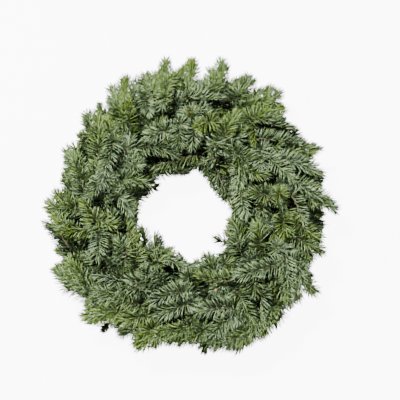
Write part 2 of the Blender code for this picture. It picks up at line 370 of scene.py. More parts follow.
mottleRule = {"detail": 3, "full": 0.72, "relief": 0.0003}


def makeMottleGroup():
    # Two colours in soft patches, which bark, buds, cut wood and wire share
    group, nodes, links, taken, given = newGroup(
        "mottle", (("First", "Color"), ("Second", "Color"), ("Scale", "Float"), ("Edge", "Float")),
        (("Colour", "Color"), ("Mask", "Float")))
    place = nodes.new("ShaderNodeTexCoord")
    noise = nodes.new("ShaderNodeTexNoise")
    noise.inputs["Detail"].default_value = mottleRule["detail"]
    links.new(place.outputs["Object"], noise.inputs["Vector"])
    links.new(taken.outputs["Scale"], noise.inputs["Scale"])
    patches = shareBetween(nodes, links, noise.outputs[0], taken.outputs["Edge"], mottleRule["full"])
    mixed = mixColours(nodes, links, patches, taken.outputs["First"], taken.outputs["Second"])
    links.new(mixed, given.inputs["Colour"])
    links.new(noise.outputs[0], given.inputs["Mask"])
    return group


needleMarks = {
    "shades": ((0.0, 0.5), (0.5, 1.0)),
    # Places across a needle and strengths there: two pale bands with the midrib between them
    "bands": ((0.12, 0.0), (0.24, 1.0), (0.40, 1.0), (0.50, 0.2), (0.60, 1.0), (0.76, 1.0), (0.88, 0.0)),
    "root": ((0.0, 1.0), (0.09, 0.0)),
}


def makeNeedleGroup():
    # One needle's colour: its shade, youth and bloom come from the tone attribute
    colours = ("Dark", "Middle", "Light", "Young", "Bloom", "Root")
    group, nodes, links, taken, given = newGroup(
        "needle_tone", [(colour, "Color") for colour in colours], (("Colour", "Color"),))
    shade, youth, bloom = readTone(nodes, links)
    lower, upper = (shareBetween(nodes, links, shade, *half) for half in needleMarks["shades"])
    dim = mixColours(nodes, links, lower, taken.outputs["Dark"], taken.outputs["Middle"])
    shaded = mixColours(nodes, links, upper, dim, taken.outputs["Light"])
    aged = mixColours(nodes, links, youth, shaded, taken.outputs["Young"])

    place = nodes.new("ShaderNodeUVMap")
    place.uv_map = "UVMap"
    axes = nodes.new("ShaderNodeSeparateXYZ")
    links.new(place.outputs[0], axes.inputs[0])
    banded = nodes.new("ShaderNodeMath")
    banded.operation = "MULTIPLY"
    links.new(greyRamp(nodes, links, axes.outputs[0], needleMarks["bands"]), banded.inputs[0])
    links.new(bloom, banded.inputs[1])
    bloomed = mixColours(nodes, links, banded.outputs[0], aged, taken.outputs["Bloom"])
    root = greyRamp(nodes, links, axes.outputs[1], needleMarks["root"])
    links.new(mixColours(nodes, links, root, bloomed, taken.outputs["Root"]), given.inputs["Colour"])
    return group


mottle, needleTone = makeMottleGroup(), makeNeedleGroup()


needleFinish = {
    "colours": {
        "Dark": (0.005, 0.013, 0.004),
        "Middle": (0.072, 0.125, 0.034),
        "Light": (0.365, 0.470, 0.205),
        "Young": (0.165, 0.265, 0.016),
        "Bloom": (0.350, 0.475, 0.310),
        "Root": (0.125, 0.105, 0.040),
    },
    "roughness": 0.4,
    "specular": 0.4,
}
# The needles below each shoot: the same needle colours made much darker as painted shade, with less gloss
paintedShadeNeedleFinish = {
    "colours": {
        "Dark": (0.004, 0.009, 0.003),
        "Middle": (0.027, 0.048, 0.014),
        "Light": (0.120, 0.170, 0.055),
        "Young": (0.060, 0.090, 0.012),
        "Bloom": (0.100, 0.150, 0.070),
        "Root": (0.030, 0.034, 0.010),
    },
    "roughness": 0.8,
    "specular": 0.1,
}


def makeNeedleFinish(name, rule):
    # Needles with pale breathing bands; the inner ones underneath carry painted shade, with darker colours
    # and dim bands, and have less gloss
    finish, nodes, links, shader = newFinish(name, rule["roughness"])
    shader.inputs["Specular IOR Level"].default_value = rule["specular"]
    tone = placeGroup(nodes, needleTone, rule["colours"])
    links.new(tone.outputs["Colour"], shader.inputs["Base Color"])
    return finish


barkFinish = {
    "old": (0.052, 0.036, 0.020),
    "young": (0.100, 0.082, 0.038),
    "spots": (0.100, 0.085, 0.040),
    "grain": 900,
    "edge": 0.35,
    "roughness": 0.8,
    "bump": 0.5,
    "relief": 0.0004,
}


def makeBarkFinish():
    # Green young bark that turns brown, with rough leaf scars
    finish, nodes, links, shader = newFinish("fir_bark", barkFinish["roughness"])
    youth = readTone(nodes, links)[1]
    aged = mixColours(nodes, links, youth, barkFinish["old"], barkFinish["young"])
    spots = placeGroup(nodes, mottle, {"Second": barkFinish["spots"], "Scale": barkFinish["grain"],
                                       "Edge": barkFinish["edge"]})
    links.new(aged, spots.inputs["First"])
    links.new(spots.outputs["Colour"], shader.inputs["Base Color"])
    raiseSurface(nodes, links, shader, spots.outputs["Mask"], barkFinish["bump"], barkFinish["relief"])
    return finish


def makeMottledFinish(name, rule):
    # A finish of two colours in patches, with the patches a little raised
    finish, nodes, links, shader = newFinish(name, rule["roughness"])
    patches = placeGroup(nodes, mottle, {"First": rule["first"], "Second": rule["second"],
                                         "Scale": rule["scale"], "Edge": rule["edge"]})
    links.new(patches.outputs["Colour"], shader.inputs["Base Color"])
    raiseSurface(nodes, links, shader, patches.outputs["Mask"], rule["bump"], mottleRule["relief"])
    shader.inputs["Metallic"].default_value = rule.get("metallic", 0.0)
    shader.inputs["Coat Weight"].default_value = rule.get("coat", 0.0)
    return finish


budFinish = {
    "first": (0.130, 0.060, 0.020), "second": (0.420, 0.240, 0.070),
    "scale": 700, "edge": 0.3, "roughness": 0.35, "bump": 0.3, "coat": 0.4,
}
cutFinish = {
    "first": (0.300, 0.150, 0.065), "second": (0.560, 0.380, 0.190),
    "scale": 2600, "edge": 0.3, "roughness": 0.75, "bump": 0.4,
}
frameFinish = {
    "first": (0.050, 0.060, 0.045), "second": (0.160, 0.070, 0.030),
    "scale": 160, "edge": 0.45, "roughness": 0.45, "bump": 0.3, "metallic": 0.8,
}
reelFinish = {
    "first": (0.020, 0.090, 0.035), "second": (0.060, 0.100, 0.050),
    "scale": 160, "edge": 0.45, "roughness": 0.38, "bump": 0.2, "metallic": 0.8,
}


# How the sprays grow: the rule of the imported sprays, lane by lane

wreath = {
    # Bearings and angles in degrees, sizes in metres
    "bunches": 14,
    "firstStation": 153,
    "innerRail": 0.131,
    "outerRail": 0.165,
    "frameWire": 0.0036,
    "reelWire": 0.0012,
    "gap": 0.0003,
    "stemRadius": 0.0026,
    "stemCorner": 60,  # the angle at a corner of the three-sided stem
    "leaderTip": 0.0018,
    "boundLength": 0.034,
    "curvePull": 0.36,
    "tipOverhang": 0.020,
    "outlineMiddle": (0.005, 0.014, 0.0),
    "holeRadius": 0.074,
    "floorRoom": 0.0022,
    "wireChamfer": 0.0017,
}

outerTips = (  # bearing, reach, height and aim of each tip
    (116, 0.263, 0.040, 26), (89, 0.267, 0.046, 35), (65, 0.255, 0.040, 40), (45, 0.252, 0.032, 45),
    (14, 0.239, 0.020, 42), (-11, 0.239, 0.016, 35), (-36, 0.260, 0.016, 17), (-59, 0.246, 0.014, 30),
    (-84, 0.240, 0.014, 58), (-111, 0.259, 0.014, 14), (-133, 0.268, 0.014, 44), (-165, 0.249, 0.018, 50),
    (-182, 0.253, 0.020, 50), (-223, 0.254, 0.032, 35),
)
shoulderTips = (
    (100, 0.262, 0.060, 20), (76, 0.264, 0.060, 5), (55, 0.247, 0.058, 40), (21, 0.242, 0.052, 45),
    (-3, 0.247, 0.052, 41), (-22, 0.237, 0.048, 30), (-49, 0.238, 0.046, 25), (-72, 0.259, 0.044, 30),
    (-92, 0.236, 0.046, 40), (-120, 0.256, 0.044, 30), (-154, 0.250, 0.046, 45), (-172, 0.245, 0.050, 56),
    (-203, 0.237, 0.052, 40), (-230, 0.248, 0.058, 35),
)
holeReaches = (
    0.095, 0.095, 0.094, 0.080, 0.083, 0.088, 0.098, 0.103, 0.103, 0.088, 0.084, 0.103, 0.099, 0.092,
)
lanes = {
    # Circle of the bound stretch, its lift in degrees, the out and up parts of the way that the flat spray
    # faces, the lengths of its two side shoots, and where and how its tip ends
    "outer": {
        "circle": 0.1650, "rise": 6, "faces": (0.2, 1.0), "sides": (0.050, 0.052),
        "tips": outerTips, "lift": (-4, 8),
    },
    "hole": {
        "circle": 0.1310, "rise": 20, "faces": (-0.9, 1.0), "sides": (0.042, 0.040),
        "turn": (46, 52), "reaches": holeReaches, "height": (0.042, 0.056),
        "aim": (85, 110), "lift": (0, 20),
    },
    "crown": {
        "circle": 0.1423, "rise": 26, "faces": (0.1, 1.0), "sides": (0.052, 0.048),
        "turn": (44, 50), "reach": (0.145, 0.168), "height": (0.068, 0.080),
        "aim": (55, 85), "lift": (8, 25),
    },
    "shoulder": {
        "circle": 0.1537, "rise": 16, "faces": (0.5, 1.0), "sides": (0.052, 0.050),
        "tips": shoulderTips, "lift": (0, 14),
    },
}
station = 360 / wreath["bunches"]
railHeight = wreath["reelWire"] + wreath["gap"] + wreath["frameWire"] / 2
stemHeight = railHeight + wreath["frameWire"] / 2 + wreath["gap"] + wreath["stemRadius"] / 2
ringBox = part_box("wire_frame")
ringCentre = np.array([(ringBox[0][0] + ringBox[1][0]) / 2, (ringBox[0][1] + ringBox[1][1]) / 2, 0.0])


def leaderCorners(laneName, bunch):
    # Bound along the frame first, then one smooth curve out to the twig's end
    rule, draw = lanes[laneName], random.Random(f"{laneName}_spray_{bunch + 1:02d}")
    here = wreath["firstStation"] - station * bunch
    bound = math.degrees(wreath["boundLength"] / rule["circle"])
    if "tips" in rule:
        bearing, reach, height, aim = rule["tips"][bunch]
        endWay = heading(bearing, aim, draw.uniform(*rule["lift"]))
        tip = np.array(wreath["outlineMiddle"]) + polar(reach, bearing, height)
        end = tip - endWay * wreath["tipOverhang"]
    else:
        bearing = here - draw.uniform(*rule["turn"])
        reach = rule["reaches"][bunch] if "reaches" in rule else draw.uniform(*rule["reach"])
        end = polar(reach, bearing, draw.uniform(*rule["height"]))
        endWay = heading(bearing, draw.uniform(*rule["aim"]), draw.uniform(*rule["lift"]))
    start = polar(rule["circle"], here - bound, stemHeight)
    startWay = heading(here - bound, 90, rule["rise"])
    pull = wreath["curvePull"] * np.linalg.norm(end - start)
    stem = [polar(rule["circle"], here - bound * share, stemHeight) for share in (0, 0.5)]
    return stem, (start, start + startWay * pull, end - endWay * pull, end)


shootShape = {
    # Angles in degrees, places and lengths as shares, rooms and radii in metres
    "spread": 46,
    "spreadSwing": 14,
    "bend": 0.7,
    "rollSwing": 34,
    "elbow": 0.25,
    "placeSwing": 0.06,
    "lengthSwing": 0.15,
    "before": 0.02,
    "after": 0.01,
    "radii": (0.0012, 0.0017, 0.0016),
    "packed": ((30, 0.36), (150, 0.52)),
    "draws": 80,
    "easyRoom": 0.0052,
    "twigRoom": 0.0012,
    "longer": 1.2,
    "longerTries": 5,
    "longerRoom": (0.006, 0.004),  # from the hole's edge and from the floor
    "roundPull": 0.3,
    "added": {  # flat angle, place on the leader and length of each added shoot, as a share of the first
        "outer": ((30, 0.12, 1.4), (150, 0.24, 1.4), (30, 0.50, 1.2)),
        "shoulder": ((30, 0.12, 1.4), (150, 0.24, 1.4), (30, 0.50, 1.2), (150, 0.60, 1.2)),
        "crown": ((30, 0.12, 1.4), (150, 0.24, 1.4), (30, 0.45, 1.3), (150, 0.60, 1.2)),
        "hole": ((30, 0.14, 1.4), (150, 0.26, 1.4)),
    },
    "addedSpread": 30,
    "addedTries": 14,
    "addedRoom": (0.010, 0.006),
    "shorter": 0.93,
    "rimRoom": 0.010,
    "highest": 0.074,
    "thickness": (0.0014, 0.0010),
    "bendPoints": 12,
    "leaderSteps": (-1, -0.5, 0, 0.18, 0.4, 0.7, 1),
    "leaderPoints": 24,
    "bare": {"leader": 0.2, "side": 0.06, "under": 0.0},
}


tiny = 1e-18  # keeps a division by nothing away


def segmentGaps(starts, ends, start, end):
    # Least distance from one segment to each of many
    along, others, apart = end - start, ends - starts, start - starts
    square, squares = along @ along, np.einsum("ij,ij->i", others, others)
    both, behind, beside = others @ along, apart @ along, np.einsum("ij,ij->i", others, apart)
    spread = np.maximum(square * squares - both * both, tiny)
    share = np.clip((both * beside - behind * squares) / spread, 0, 1)
    shares = np.clip((both * share + beside) / squares, 0, 1)
    share = np.clip((both * shares - behind) / square, 0, 1)
    return np.linalg.norm(start + share[:, None] * along - starts - shares[:, None] * others, axis=1)


def fillSpace(filled, points, radii, owner):
    # Adds a rod to the space that is taken
    for i in range(len(points) - 1):
        filled.append((points[i], points[i + 1], max(radii[i], radii[i + 1]), owner))


def clearRoom(filled, points, radii, owner):
    # Least clear distance from these rods to every other owner's
    others = [rod for rod in filled if rod[3] != owner]
    starts, ends = np.array([rod[0] for rod in others]), np.array([rod[1] for rod in others])
    thick = np.array([rod[2] for rod in others])
    return min(
        (segmentGaps(starts, ends, points[i], points[i + 1]) - thick).min() - max(radii[i], radii[i + 1])
        for i in range(len(points) - 1)
    )


def packedWire():
    # The rails and the bends of the reel wire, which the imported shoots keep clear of
    filled = []
    wireBearing = wreath["firstStation"] - math.degrees(
        wreath["boundLength"] / (wreath["innerRail"] + wreath["outerRail"]))
    for radius in (wreath["innerRail"], wreath["outerRail"]):
        steps = 2 * wreath["bunches"]
        path = [polar(radius, wireBearing - 360 * i / steps, railHeight) for i in range(steps + 1)]
        fillSpace(filled, path, [wreath["frameWire"] / 2] * (steps + 1), "wire_frame")
    half = wreath["stemRadius"] * math.sin(math.radians(wreath["stemCorner"]))
    inside = wreath["innerRail"] - half - wreath["gap"] - wreath["reelWire"] / 2
    outside = wreath["outerRail"] + half + wreath["gap"] + wreath["reelWire"] / 2
    low = wreath["reelWire"] / 2
    high = stemHeight + wreath["stemRadius"] + wreath["gap"] + wreath["reelWire"] / 2
    cut = wreath["wireChamfer"]
    corners = ((inside + cut, low), (inside, low + cut), (inside, high - cut), (inside + cut, high),
               (outside - cut, high), (outside, high - cut), (outside, low + cut), (outside - cut, low))
    loop = [polar(radius, wireBearing - station * bunch, height)
            for bunch in range(wreath["bunches"]) for radius, height in corners]
    fillSpace(filled, loop + loop[:1], [wreath["reelWire"]] * (len(loop) + 1), "binding_wire")
    return filled


def sideCorners(steps, points, faces, flat, at, length, draw, spread=shootShape["spread"]):
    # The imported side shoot: it leaves its leader at an angle, then bends forward, nearer the spray's plane
    here, before, after = (
        np.array([np.interp(place, steps, axis) for axis in points.T])
        for place in (at, at - shootShape["before"], at + shootShape["after"])
    )
    ahead = unit(after - before)
    across, face = flatFrame(faces, here, ahead)
    spread = spread + swing(draw, shootShape["spreadSwing"])
    level = 0 if flat < 90 else 180
    way = leaning(ahead, across, face, np.array(flat), np.array(spread))
    roll = level + swing(draw, shootShape["rollSwing"])
    later = leaning(ahead, across, face, np.array(roll), np.array(spread * shootShape["bend"]))
    elbow = here + way * length * shootShape["elbow"]
    return np.array([here, elbow, elbow + later * length * (1 - shootShape["elbow"])])


def clearOfHole(points):
    reach = np.hypot(points[:, 0], points[:, 1])
    return reach.min() >= wreath["holeRadius"] and points[:, 2].min() >= wreath["floorRoom"]


# The corners of the hole in the photo: bearing and reach from the frame's middle
holeCorners = (
    (0, 0.076), (18, 0.061), (32, 0.055), (50, 0.060), (76, 0.078), (95, 0.067), (150, 0.068),
    (186, 0.086), (204, 0.086), (215, 0.096), (230, 0.098), (238, 0.072), (255, 0.063), (266, 0.078),
    (276, 0.091), (290, 0.074), (300, 0.081), (318, 0.088), (330, 0.066), (345, 0.069),
)
rim = {
    "valley": 0.228,  # reach of the foliage between two tips
    "lobe": 0.017,
    "past": 0.006,
    "fingers": 0.200,  # tips past this reach have a lobe
}
rimTips = []  # filled with the tips of the shoots that reach past the rim


def holeNear(points):
    # The hole's edge at the bearing of each point
    bearing = np.degrees(np.arctan2(points[..., 1], points[..., 0])) % 360
    corners = holeCorners + ((holeCorners[0][0] + 360, holeCorners[0][1]),)
    return np.interp(bearing, *zip(*corners))


def rimNear(points):
    # How far foliage may reach at each point: a circle with a lobe round every tip
    middle = np.array(wreath["outlineMiddle"][:2])
    spots = points[..., :2] - middle
    bearing = np.arctan2(spots[..., 1], spots[..., 0])
    edge = np.full(bearing.shape, rim["valley"])
    for tip in rimTips:
        reach = np.hypot(*(tip - middle))
        turn = bearing - math.atan2(*(tip - middle)[::-1])
        aside = reach * np.abs((turn + np.pi) % (2 * np.pi) - np.pi)
        edge = np.maximum(edge, reach + rim["past"] - aside**2 / rim["lobe"])
    return edge


def reachFrom(points, middle=(0.0, 0.0)):
    return np.hypot(points[..., 0] - middle[0], points[..., 1] - middle[1])


def clearOfEdge(points, room, floorRoom):
    inside = (reachFrom(points) - holeNear(points)).min() >= room
    outside = (rim["valley"] - reachFrom(points, wreath["outlineMiddle"])).min() >= shootShape["rimRoom"]
    level = points[:, 2].min() >= floorRoom and points[:, 2].max() <= shootShape["highest"]
    return inside and outside and level


def packedSides(filled, name, laneName, steps, points):
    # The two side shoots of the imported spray, each redrawn until it stands clear of its neighbours
    rule, sides = lanes[laneName], []
    for (flat, at), length in zip(shootShape["packed"], rule["sides"]):
        draw = random.Random(f"{name} side {flat}")
        best, bestRoom = None, shootShape["twigRoom"]
        for _ in range(shootShape["draws"]):
            place = at + swing(draw, shootShape["placeSwing"])
            reach = length * (1 + swing(draw, shootShape["lengthSwing"]))
            corners = sideCorners(steps, points, rule["faces"], flat, place, reach, draw)
            room = clearRoom(filled, corners, shootShape["radii"], name)
            if room > bestRoom and clearOfHole(corners):
                best, bestRoom = corners, room
            if bestRoom > shootShape["easyRoom"]:
                break
        if best is not None:
            fillSpace(filled, best, shootShape["radii"], name)
            sides.append(best)
    return sides


def rounded(corners):
    # A side shoot's corners as one smooth curve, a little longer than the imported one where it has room
    root, elbow, end = corners
    for share in np.linspace(shootShape["longer"], 1, shootShape["longerTries"]):
        longer = elbow + (end - elbow) * share
        if clearOfEdge(longer[None], *shootShape["longerRoom"]):
            break
    pull = elbow + (longer - elbow) * shootShape["roundPull"]
    return curve((root, elbow, pull, longer), shootShape["bendPoints"])


def addedSides(name, laneName, steps, points):
    # More side shoots, which only the looks have, clear of the hole and the floor
    rule, sides, draw = lanes[laneName], [], random.Random(f"{name} added shoots")
    for flat, at, share in shootShape["added"][laneName]:
        length = rule["sides"][0] * share * (1 + swing(draw, shootShape["lengthSwing"]))
        for _ in range(shootShape["addedTries"]):
            place = at + swing(draw, shootShape["placeSwing"] / 2)
            corners = sideCorners(steps, points, rule["faces"], flat, place, length, draw,
                                  shootShape["addedSpread"])
            if clearOfEdge(corners, *shootShape["addedRoom"]):
                sides.append(corners)
                break
            length *= shootShape["shorter"]
    return sides


underGrowth = {
    # Roots along the leader, way from radial and length of each shoot there, and its end's share of the
    # root's height, by turns
    "lanes": {
        "outer": ((0.0, 0.15, 0.3, 0.45, 0.6, 0.8), ((5, 0.055), (40, 0.065), (80, 0.070)), (0.45, 0.9)),
        "hole": ((0.0, 0.17, 0.34, 0.5, 0.67, 0.84), ((85, 0.060), (120, 0.050), (150, 0.040)), (0.45, 0.9)),
        "crown": ((0.1, 0.3, 0.5, 0.8), ((10, 0.055), (60, 0.055), (105, 0.055)), (0.45, 0.8)),
        "shoulder": ((0.1, 0.3, 0.5, 0.7, 0.9), ((10, 0.055), (45, 0.060), (80, 0.060)), (0.45, 1.5)),
    },
    "aimSwing": 10,
    "lengthSwing": 0.15,
    "shorter": (1.0, 0.8, 0.6),
    "lowest": 0.007,
    "room": (0.014, 0.004),
    "points": 6,
}


def underShoots(name, laneName, leader):
    # Short shoots below the leader, which close the bottom of the wreath
    draw, paths = random.Random(f"{name} under shoots"), []
    roots, ways, drops = underGrowth["lanes"][laneName]
    for number, place in enumerate(roots):
        root = readAlong(leader, np.array([place]))[0][0]
        drop = drops[number % 2]
        bearing = math.degrees(math.atan2(root[1], root[0]))
        for aim, length in ways:
            length *= 1 + swing(draw, underGrowth["lengthSwing"])
            way = heading(bearing, aim + swing(draw, underGrowth["aimSwing"]))
            for shorter in underGrowth["shorter"]:
                end = root + way * length * shorter
                end[2] = max(underGrowth["lowest"], root[2] * drop)
                middle = (root + end) / 2
                middle[2] = root[2]
                path = curve((root, middle, middle, end), underGrowth["points"])
                if clearOfEdge(path, *underGrowth["room"]):
                    paths.append(path)
                    break
    return paths


frontShape = {
    # The dome's height, its top's reach and how far it falls on both sides; from the straight share on its
    # outer side runs straight. The rest says how a shoot joins its leader and ends.
    "crown": 0.086,
    "middle": 0.155,
    "inwards": 0.135,
    "outwards": 0.155,
    "straight": 0.45,
    "lowest": 0.012,
    "joinPoints": 5,
    "points": 10,
    "bow": 0.2,
    "dive": 0.020,
    "behind": 0.025,
    "back": 0.4,
    "standing": 0.016,
    "standingPoints": (4, 6),
    "brush": 0.008,
    "bare": 0.2,
}

# The shoots that show on the front: root, tip, the side its needles stand on, its colour and whether it ends
# in buds; a star shoot stands up and shows its end
frontShoots = (
    ((-0.113, 0.161), (-0.109, 0.243), "flat", "shaded"),
    ((-0.100, 0.149), (-0.104, 0.199), "flat", "shaded"),
    ((-0.117, 0.154), (-0.132, 0.198), "flat", "deep"),
    ((-0.149, 0.096), (-0.153, 0.168), "flat", "olive"),
    ((-0.127, 0.120), (-0.135, 0.153), "flat", "olive"),
    ((-0.165, 0.139), (-0.173, 0.173), "flat", "green"),
    ((-0.170, 0.022), (-0.191, 0.098), "flat", "green"),
    ((-0.124, 0.107), (-0.143, 0.036), "flat", "silver"),
    ((-0.138, 0.043), (-0.165, 0.010), "flat", "silver", "bud"),
    ((-0.148, -0.027), (-0.168, 0.007), "left", "young"),
    ((-0.113, 0.016), (-0.090, -0.014), "flat", "silver", "bud"),
    ((-0.148, -0.024), (-0.117, -0.036), "flat", "olive"),
    ((-0.183, -0.003), (-0.234, 0.004), "flat", "green", "bud"),
    ((-0.202, 0.009), (-0.222, 0.025), "flat", "olive"),
    ((-0.199, -0.035), (-0.222, -0.014), "flat", "young"),
    ((-0.193, -0.070), (-0.233, -0.020), "left", "deep"),
    ((-0.155, -0.041), (-0.206, -0.040), "left", "bright"),
    ((-0.144, -0.036), (-0.146, -0.095), "flat", "silver"),
    ((-0.098, -0.078), (-0.098, -0.025), "right", "olive"),
    ((-0.093, -0.025), (-0.089, 0.007), "right", "green"),
    ((-0.109, 0.045), (-0.058, 0.045), "flat", "green"),
    ((-0.145, -0.146), (-0.213, -0.102), "flat", "green"),
    ((-0.160, -0.133), (-0.194, -0.090), "flat", "olive"),
    ((-0.111, -0.175), (-0.169, -0.180), "flat", "fresh"),
    ((-0.081, -0.138), (-0.152, -0.114), "left", "silver"),
    ((-0.121, -0.151), (-0.150, -0.141), "flat", "silver"),
    ((-0.075, -0.165), (-0.121, -0.156), "flat", "green"),
    ((-0.071, -0.182), (-0.119, -0.190), "flat", "fresh"),
    ((-0.056, -0.206), (-0.082, -0.225), "flat", "fresh"),
    ((-0.079, -0.200), (-0.108, -0.207), "flat", "deep"),
    ((-0.002, -0.164), (-0.047, -0.184), "flat", "silver"),
    ((-0.009, -0.144), (-0.056, -0.160), "flat", "silver"),
    ((0.073, -0.170), (0.012, -0.175), "flat", "silver", "bud"),
    ((0.077, -0.182), (0.031, -0.219), "flat", "pale", "bud"),
    ((0.004, -0.198), (-0.037, -0.211), "flat", "olive"),
    ((0.092, -0.209), (0.068, -0.226), "flat", "fresh"),
    ((0.119, -0.184), (0.094, -0.222), "flat", "pale"),
    ((0.028, -0.204), (0.004, -0.220), "flat", "deep"),
    ((0.166, -0.096), (0.076, -0.120), "flat", "pale"),
    ((0.119, -0.150), (0.119, -0.187), "left", "silver", "bud"),
    ((0.084, -0.151), (0.107, -0.195), "flat", "green"),
    ((0.159, -0.083), (0.162, -0.164), "flat", "pale"),
    ((0.182, -0.113), (0.210, -0.142), "flat", "green"),
    ((0.072, -0.126), (0.014, -0.122), "right", "olive"),
    ((-0.048, -0.078), (0.004, -0.104), "flat", "silver"),
    ((-0.051, -0.097), (-0.026, -0.064), "flat", "olive"),
    ((0.046, -0.118), (0.032, -0.079), "flat", "deep"),
    ((0.085, -0.074), (0.067, -0.037), "flat", "deep"),
    ((0.088, 0.031), (0.097, -0.018), "flat", "pale"),
    ((0.089, 0.060), (0.083, 0.032), "flat", "pale"),
    ((0.124, 0.095), (0.122, 0.059), "flat", "silver"),
    ((0.134, 0.081), (0.176, 0.043), "flat", "pale"),
    ((0.143, 0.043), (0.151, 0.019), "star", "olive"),
    ((0.162, 0.078), (0.226, 0.058), "flat", "silver"),
    ((0.179, 0.038), (0.248, -0.001), "flat", "silver"),
    ((0.172, 0.016), (0.190, -0.038), "left", "pale"),
    ((0.184, -0.035), (0.219, -0.055), "flat", "olive", "bud"),
    ((0.187, -0.058), (0.221, -0.076), "flat", "green"),
    ((0.118, -0.064), (0.114, -0.029), "flat", "olive"),
    ((0.157, -0.029), (0.158, -0.054), "flat", "olive"),
    ((0.137, -0.052), (0.147, -0.072), "star", "silver"),
    ((0.126, 0.020), (0.104, 0.022), "flat", "green"),
    ((0.041, 0.086), (0.076, 0.008), "right", "deep", "bud"),
    ((-0.042, 0.186), (-0.038, 0.279), "flat", "shaded"),
    ((-0.036, 0.225), (-0.043, 0.167), "flat", "silver"),
    ((-0.077, 0.226), (-0.063, 0.156), "flat", "silver"),
    ((0.004, 0.220), (0.009, 0.278), "flat", "shaded"),
    ((0.051, 0.221), (0.061, 0.280), "flat", "young"),
    ((0.001, 0.192), (0.060, 0.187), "left", "pale"),
    ((-0.020, 0.216), (-0.019, 0.249), "flat", "shaded"),
    ((0.038, 0.146), (0.016, 0.131), "flat", "young", "bud"),
    ((-0.041, 0.129), (-0.070, 0.117), "flat", "pale", "bud"),
    ((-0.006, 0.174), (0.006, 0.161), "star", "green"),
    ((-0.013, 0.141), (-0.016, 0.100), "flat", "silver"),
    ((0.014, 0.135), (0.006, 0.100), "flat", "silver"),
    ((0.058, 0.111), (0.085, 0.164), "flat", "olive"),
    ((0.095, 0.202), (0.112, 0.238), "flat", "green", "bud"),
    ((0.127, 0.179), (0.145, 0.222), "flat", "green"),
    ((0.138, 0.179), (0.161, 0.217), "flat", "green"),
    ((0.105, 0.155), (0.168, 0.179), "flat", "young"),
    ((0.126, 0.149), (0.181, 0.135), "left", "deep"),
    ((0.125, 0.116), (0.227, 0.103), "left", "silver"),
    ((0.109, 0.149), (0.116, 0.102), "right", "olive"),
    ((0.079, 0.194), (0.091, 0.232), "flat", "deep"),
    ((0.030, 0.200), (0.042, 0.231), "flat", "deep"),
    ((-0.056, -0.086), (-0.055, -0.040), "right", "deep"),
    ((0.106, -0.118), (0.107, -0.152), "flat", "deep"),
    ((0.082, 0.090), (0.102, 0.066), "flat", "deep"),
    ((-0.120, 0.170), (-0.132, 0.223), "flat", "green"),
    ((-0.092, 0.172), (-0.091, 0.216), "flat", "deep"),
    ((-0.059, 0.199), (-0.075, 0.246), "flat", "green"),
    ((0.001, 0.198), (-0.001, 0.241), "flat", "green"),
    ((0.021, 0.190), (0.018, 0.225), "flat", "silver"),
    ((0.045, 0.203), (0.041, 0.257), "flat", "olive"),
    ((-0.182, 0.058), (-0.204, 0.103), "flat", "green"),
    ((-0.153, -0.150), (-0.204, -0.119), "flat", "deep"),
    ((-0.124, -0.174), (-0.164, -0.166), "flat", "fresh"),
    ((-0.040, -0.208), (-0.081, -0.230), "flat", "fresh"),
    ((-0.056, -0.203), (-0.085, -0.213), "flat", "fresh"),
    ((0.004, -0.207), (-0.032, -0.220), "flat", "deep"),
    ((0.058, -0.209), (0.020, -0.226), "flat", "green"),
    ((0.084, -0.212), (0.042, -0.228), "flat", "pale"),
    ((0.107, -0.205), (0.076, -0.232), "flat", "fresh"),
    ((0.139, -0.165), (0.117, -0.213), "flat", "olive"),
    ((0.182, -0.103), (0.177, -0.153), "flat", "pale"),
    ((0.152, -0.155), (0.138, -0.195), "flat", "deep"),
    ((0.089, -0.053), (0.072, -0.018), "flat", "green"),
    ((-0.083, -0.088), (-0.083, -0.041), "flat", "olive"),
    ((0.014, 0.091), (-0.060, 0.071), "left", "green"),
    ((0.048, 0.086), (0.004, 0.076), "left", "deep"),
    ((-0.064, 0.195), (-0.057, 0.245), "flat", "olive"),
    ((0.086, 0.193), (0.104, 0.245), "flat", "green"),
    ((0.116, 0.154), (0.161, 0.161), "flat", "green"),
    ((-0.191, -0.131), (-0.215, -0.100), "flat", "green"),
    ((-0.018, -0.204), (-0.060, -0.218), "flat", "deep"),
    ((0.020, -0.207), (-0.015, -0.223), "flat", "olive"),
    ((0.100, -0.203), (0.062, -0.227), "flat", "green"),
    ((0.152, -0.136), (0.169, -0.160), "flat", "olive"),
    ((-0.033, 0.072), (-0.003, 0.066), "flat", "deep"),
    ((0.029, 0.072), (0.045, 0.041), "flat", "deep"),
    ((0.084, 0.072), (0.133, 0.048), "flat", "green"),
    ((-0.063, 0.104), (-0.016, 0.092), "flat", "deep"),
    ((0.074, 0.097), (0.114, 0.078), "flat", "deep"),
    ((0.196, 0.024), (0.212, 0.001), "flat", "deep"),
    ((-0.098, -0.146), (-0.158, -0.160), "flat", "green"),
)


def newShoot(path, thickness, bare, kind):
    return {"path": path, "radii": thickness, "bare": bare, "kind": kind}


def frontHeight(reach):
    # Height and slope of the front at a reach: a dome over the frame, with straight outer sides
    fall = frontShape["inwards"] if reach < frontShape["middle"] else frontShape["outwards"]
    out = (reach - frontShape["middle"]) / fall
    curved = min(out, frontShape["straight"])
    height = frontShape["crown"] * (1 - curved * curved - 2 * curved * (out - curved))
    return max(frontShape["lowest"], height), -2 * frontShape["crown"] * curved / fall


def nearestLeader(leaders, point):
    # Which leader passes nearest to a point, and where
    gaps = [np.linalg.norm(leader - point, axis=1) for leader in leaders]
    nearest = int(np.argmin([gap.min() for gap in gaps]))
    return nearest, leaders[nearest][int(np.argmin(gaps[nearest]))]


